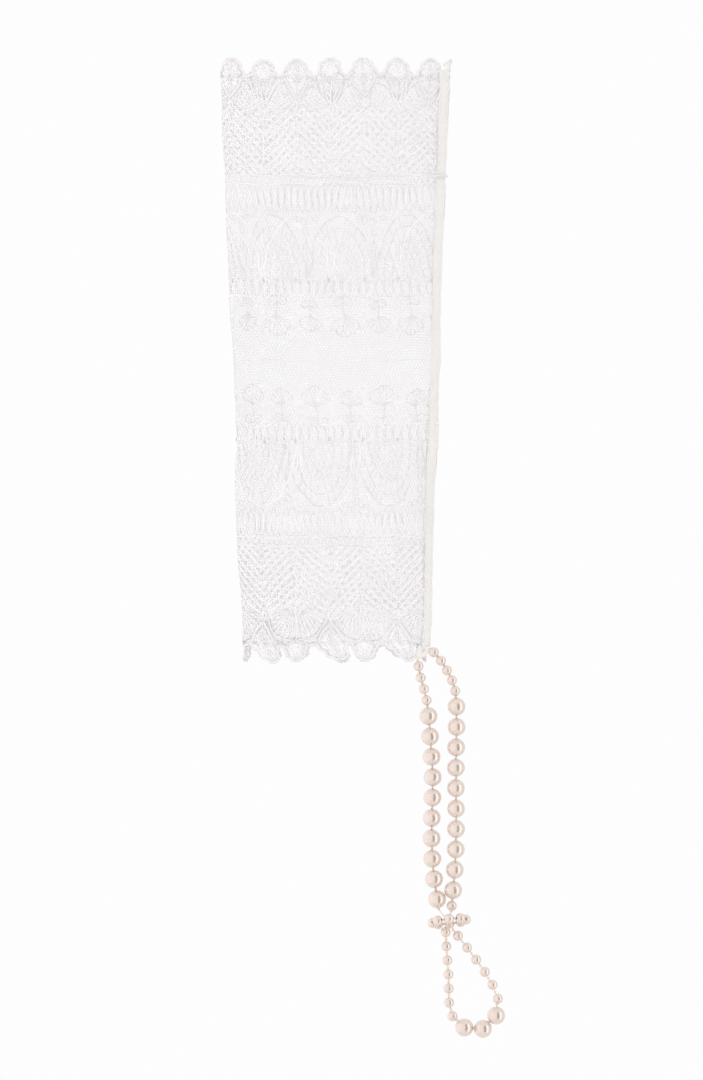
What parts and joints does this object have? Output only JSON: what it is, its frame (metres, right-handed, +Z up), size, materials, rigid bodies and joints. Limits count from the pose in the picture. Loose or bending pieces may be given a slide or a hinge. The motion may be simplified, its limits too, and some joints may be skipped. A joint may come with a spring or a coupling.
{
  "type": "lace wedding glove",
  "caption": "Fingerless lace sleeve for the forearm with a taped side seam and a hanging drop of knotted pearls that ends in a loop for the middle finger.",
  "frame": {"origin": "centre of the hand opening, on the line of the lace valleys", "axes": "+Z up the forearm, +X towards the taped seam, -Y out of the front face that carries the tape"},
  "size_m": [0.1117, 0.0222, 0.3815],
  "materials": {
    "lace": "matt cotton guipure lace with an open ground",
    "satin_tape": "soft satin ribbon",
    "sewing_thread": "fine twisted thread",
    "silk_cord": "knotted silk cord",
    "pearl": "pink champagne nacre coating"
  },
  "bodies": {
    "sleeve": {"lace_sleeve": "lace", "seam_tape": "satin_tape", "seam_stitching": "sewing_thread", "bar_tack": "sewing_thread"},
    "tab_stitches": {"tab_tacks": "sewing_thread"},
    "tab": {"anchor_tab": "satin_tape", "strand_cord": "silk_cord", "right_pearl_01": "pearl"},
    "row_01": {"right_pearl_02": "pearl", "left_pearl_01": "pearl"},
    "row_02": {"right_pearl_03": "pearl", "left_pearl_02": "pearl"},
    "row_03": {"right_pearl_04": "pearl", "left_pearl_03": "pearl"},
    "row_04": {"right_pearl_05": "pearl", "left_pearl_04": "pearl"},
    "row_05": {"right_pearl_06": "pearl", "left_pearl_05": "pearl"},
    "row_06": {"right_pearl_07": "pearl", "left_pearl_06": "pearl"},
    "row_07": {"right_pearl_08": "pearl", "left_pearl_07": "pearl"},
    "row_08": {"right_pearl_09": "pearl", "left_pearl_08": "pearl"},
    "row_09": {"right_pearl_10": "pearl", "left_pearl_09": "pearl"},
    "row_10": {"right_pearl_11": "pearl", "left_pearl_10": "pearl"},
    "row_11": {"right_pearl_12": "pearl", "left_pearl_11": "pearl"},
    "row_12": {"right_pearl_13": "pearl", "left_pearl_12": "pearl"},
    "row_13": {"right_pearl_14": "pearl", "left_pearl_13": "pearl"},
    "row_14": {"right_pearl_15": "pearl", "left_pearl_14": "pearl"},
    "row_15": {"right_pearl_16": "pearl"},
    "joining": {"joining_knot": "silk_cord"},
    "keeper": {"keeper_ring_pearls": "pearl", "keeper_ring_thread": "silk_cord"},
    "loop_top": {"loop_cord": "silk_cord"},
    "loop_pearl_01": {"loop_pearl_01": "pearl"},
    "loop_pearl_16": {"loop_pearl_16": "pearl"},
    "loop_pearl_02": {"loop_pearl_02": "pearl"},
    "loop_pearl_15": {"loop_pearl_15": "pearl"},
    "loop_pearl_14": {"loop_pearl_14": "pearl"},
    "loop_pearl_03": {"loop_pearl_03": "pearl"},
    "loop_pearl_13": {"loop_pearl_13": "pearl"},
    "loop_pearl_04": {"loop_pearl_04": "pearl"},
    "loop_pearl_12": {"loop_pearl_12": "pearl"},
    "loop_pearl_05": {"loop_pearl_05": "pearl"},
    "loop_pearl_11": {"loop_pearl_11": "pearl"},
    "loop_pearl_06": {"loop_pearl_06": "pearl"},
    "loop_pearl_07": {"loop_pearl_07": "pearl"},
    "loop_pearl_08": {"loop_pearl_08": "pearl"},
    "loop_end": {"loop_pearl_09": "pearl", "loop_pearl_10": "pearl"}
  },
  "joints": [
    {"name": "tab_lift", "type": "hinge", "parent": "sleeve", "child": "tab_stitches", "pos_m": [0.0342, -0.003, 0.0008], "axis": [1, 0, 0], "range_deg": [-60, 60]},
    {"name": "tab_swing", "type": "hinge", "parent": "tab_stitches", "child": "tab", "pos_m": [0.0342, -0.003, 0.0008], "axis": [0, 1, 0], "range_deg": [-15, 15]},
    {"name": "strand_curl_01", "type": "hinge", "parent": "tab", "child": "row_01", "pos_m": [0.0321, -0.003, -0.00325], "axis": [0.9786, 0, 0.2059], "range_deg": [-5, 5]},
    {"name": "strand_curl_02", "type": "hinge", "parent": "row_01", "child": "row_02", "pos_m": [0.03263, -0.003, -0.00777], "axis": [0.9675, 0, 0.2528], "range_deg": [-5, 5]},
    {"name": "strand_curl_03", "type": "hinge", "parent": "row_02", "child": "row_03", "pos_m": [0.03377, -0.003, -0.01217], "axis": [0.959, 0, 0.2833], "range_deg": [-5, 5]},
    {"name": "strand_curl_04", "type": "hinge", "parent": "row_03", "child": "row_04", "pos_m": [0.03503, -0.003, -0.01655], "axis": [0.9533, 0, 0.302], "range_deg": [-5, 5]},
    {"name": "strand_curl_05", "type": "hinge", "parent": "row_04", "child": "row_05", "pos_m": [0.03598, -0.003, -0.021], "axis": [0.9477, 0, 0.319], "range_deg": [-5, 5]},
    {"name": "strand_curl_06", "type": "hinge", "parent": "row_05", "child": "row_06", "pos_m": [0.03655, -0.003, -0.02893], "axis": [0.9452, 0, 0.3265], "range_deg": [-5, 5]},
    {"name": "strand_curl_07", "type": "hinge", "parent": "row_06", "child": "row_07", "pos_m": [0.03714, -0.003, -0.03685], "axis": [0.9373, 0, 0.3484], "range_deg": [-5, 5]},
    {"name": "strand_curl_08", "type": "hinge", "parent": "row_07", "child": "row_08", "pos_m": [0.0378, -0.003, -0.04478], "axis": [0.9282, 0, 0.3721], "range_deg": [-5, 5]},
    {"name": "strand_curl", "type": "hinge", "parent": "row_08", "child": "row_09", "pos_m": [0.03792, -0.003, -0.05272], "axis": [0.9259, 0, 0.3778], "range_deg": [-5, 5], "deforming": ["strand_cord"]},
    {"name": "strand_curl_10", "type": "hinge", "parent": "row_09", "child": "row_10", "pos_m": [0.03762, -0.003, -0.06067], "axis": [0.9308, 0, 0.3656], "range_deg": [-5, 5]},
    {"name": "strand_curl_11", "type": "hinge", "parent": "row_10", "child": "row_11", "pos_m": [0.03741, -0.003, -0.06862], "axis": [0.9342, 0, 0.3566], "range_deg": [-5, 5]},
    {"name": "strand_curl_12", "type": "hinge", "parent": "row_11", "child": "row_12", "pos_m": [0.03752, -0.003, -0.07657], "axis": [0.9326, 0, 0.361], "range_deg": [-5, 5]},
    {"name": "strand_curl_13", "type": "hinge", "parent": "row_12", "child": "row_13", "pos_m": [0.03797, -0.003, -0.0845], "axis": [0.9235, 0, 0.3836], "range_deg": [-5, 5]},
    {"name": "strand_curl_14", "type": "hinge", "parent": "row_13", "child": "row_14", "pos_m": [0.03888, -0.003, -0.0924], "axis": [0.8977, 0, 0.4405], "range_deg": [-5, 5]},
    {"name": "strand_curl_15", "type": "hinge", "parent": "row_14", "child": "row_15", "pos_m": [0.04032, -0.003, -0.10022], "axis": [0.8262, 0, 0.5634], "range_deg": [-5, 5]},
    {"name": "strand_curl_16", "type": "hinge", "parent": "row_15", "child": "joining", "pos_m": [0.04032, -0.003, -0.10022], "axis": [0.9855, 0, -0.1696], "range_deg": [-5, 5]},
    {"name": "keeper_slide", "type": "slide", "parent": "joining", "child": "keeper", "axis": [0, 0, 1], "range_m": [-0.001, 0.001]},
    {"name": "loop_swing", "type": "hinge", "parent": "joining", "child": "loop_top", "pos_m": [0.0437, -0.003, -0.1046], "axis": [0, 1, 0], "range_deg": [-15, 15]},
    {"name": "loop_curl", "type": "hinge", "parent": "loop_top", "child": "loop_pearl_01", "pos_m": [0.0429, -0.003, -0.1064], "axis": [0.8585, 0, -0.5128], "range_deg": [-4, 4], "deforming": ["loop_cord"]},
    {"name": "loop_curl_02", "type": "hinge", "parent": "loop_pearl_01", "child": "loop_pearl_16", "pos_m": [0.04297, -0.003, -0.1119], "axis": [0.6288, 0, 0.7775], "range_deg": [-4, 4]},
    {"name": "loop_curl_03", "type": "hinge", "parent": "loop_pearl_16", "child": "loop_pearl_02", "pos_m": [0.04297, -0.003, -0.1119], "axis": [0.9892, 0, -0.1469], "range_deg": [-4, 4]},
    {"name": "loop_curl_04", "type": "hinge", "parent": "loop_pearl_02", "child": "loop_pearl_15", "pos_m": [0.04332, -0.003, -0.11739], "axis": [0.8072, 0, 0.5903], "range_deg": [-4, 4]},
    {"name": "loop_curl_05", "type": "hinge", "parent": "loop_pearl_15", "child": "loop_pearl_14", "pos_m": [0.04332, -0.003, -0.11739], "axis": [0.9999, 0, -0.0107], "range_deg": [-4, 4]},
    {"name": "loop_curl_06", "type": "hinge", "parent": "loop_pearl_14", "child": "loop_pearl_03", "pos_m": [0.04332, -0.003, -0.11739], "axis": [0.9402, 0, -0.3407], "range_deg": [-4, 4]},
    {"name": "loop_curl_07", "type": "hinge", "parent": "loop_pearl_03", "child": "loop_pearl_13", "pos_m": [0.04385, -0.003, -0.12286], "axis": [0.9986, 0, 0.0528], "range_deg": [-4, 4]},
    {"name": "loop_curl_08", "type": "hinge", "parent": "loop_pearl_13", "child": "loop_pearl_04", "pos_m": [0.04385, -0.003, -0.12286], "axis": [0.9672, 0, -0.2541], "range_deg": [-4, 4]},
    {"name": "loop_curl_09", "type": "hinge", "parent": "loop_pearl_04", "child": "loop_pearl_12", "pos_m": [0.04415, -0.003, -0.12835], "axis": [0.9966, 0, 0.0826], "range_deg": [-4, 4]},
    {"name": "loop_curl_10", "type": "hinge", "parent": "loop_pearl_12", "child": "loop_pearl_05", "pos_m": [0.04415, -0.003, -0.12835], "axis": [0.9784, 0, -0.2067], "range_deg": [-4, 4]},
    {"name": "loop_curl_11", "type": "hinge", "parent": "loop_pearl_05", "child": "loop_pearl_11", "pos_m": [0.04404, -0.003, -0.13385], "axis": [0.9962, 0, 0.087], "range_deg": [-4, 4]},
    {"name": "loop_curl_12", "type": "hinge", "parent": "loop_pearl_11", "child": "loop_pearl_06", "pos_m": [0.04404, -0.003, -0.13385], "axis": [0.9801, 0, -0.1984], "range_deg": [-4, 4]},
    {"name": "loop_curl_13", "type": "hinge", "parent": "loop_pearl_06", "child": "loop_pearl_07", "pos_m": [0.04449, -0.003, -0.13933], "axis": [0.9973, 0, 0.0735], "range_deg": [-4, 4]},
    {"name": "loop_curl_14", "type": "hinge", "parent": "loop_pearl_07", "child": "loop_pearl_08", "pos_m": [0.04668, -0.003, -0.14438], "axis": [0.9367, 0, 0.3502], "range_deg": [-4, 4]},
    {"name": "loop_curl_15", "type": "hinge", "parent": "loop_pearl_08", "child": "loop_end", "pos_m": [0.05372, -0.003, -0.14818], "axis": [0.7075, 0, 0.7067], "range_deg": [-4, 4]}
  ],
  "couplings": [
    {"joint": "strand_curl_01", "follows": "strand_curl", "ratio": 1},
    {"joint": "strand_curl_02", "follows": "strand_curl", "ratio": 1},
    {"joint": "strand_curl_03", "follows": "strand_curl", "ratio": 1},
    {"joint": "strand_curl_04", "follows": "strand_curl", "ratio": 1},
    {"joint": "strand_curl_05", "follows": "strand_curl", "ratio": 1},
    {"joint": "strand_curl_06", "follows": "strand_curl", "ratio": 1},
    {"joint": "strand_curl_07", "follows": "strand_curl", "ratio": 1},
    {"joint": "strand_curl_08", "follows": "strand_curl", "ratio": 1},
    {"joint": "strand_curl_10", "follows": "strand_curl", "ratio": 1},
    {"joint": "strand_curl_11", "follows": "strand_curl", "ratio": 1},
    {"joint": "strand_curl_12", "follows": "strand_curl", "ratio": 1},
    {"joint": "strand_curl_13", "follows": "strand_curl", "ratio": 1},
    {"joint": "strand_curl_14", "follows": "strand_curl", "ratio": 1},
    {"joint": "strand_curl_15", "follows": "strand_curl", "ratio": 1},
    {"joint": "strand_curl_16", "follows": "strand_curl", "ratio": 1},
    {"joint": "loop_curl_02", "follows": "loop_curl", "ratio": 1},
    {"joint": "loop_curl_03", "follows": "loop_curl", "ratio": 1},
    {"joint": "loop_curl_04", "follows": "loop_curl", "ratio": 1},
    {"joint": "loop_curl_05", "follows": "loop_curl", "ratio": 1},
    {"joint": "loop_curl_06", "follows": "loop_curl", "ratio": 1},
    {"joint": "loop_curl_07", "follows": "loop_curl", "ratio": 1},
    {"joint": "loop_curl_08", "follows": "loop_curl", "ratio": 1},
    {"joint": "loop_curl_09", "follows": "loop_curl", "ratio": 1},
    {"joint": "loop_curl_10", "follows": "loop_curl", "ratio": 1},
    {"joint": "loop_curl_11", "follows": "loop_curl", "ratio": 1},
    {"joint": "loop_curl_12", "follows": "loop_curl", "ratio": 1},
    {"joint": "loop_curl_13", "follows": "loop_curl", "ratio": 1},
    {"joint": "loop_curl_14", "follows": "loop_curl", "ratio": 1},
    {"joint": "loop_curl_15", "follows": "loop_curl", "ratio": 1}
  ]
}
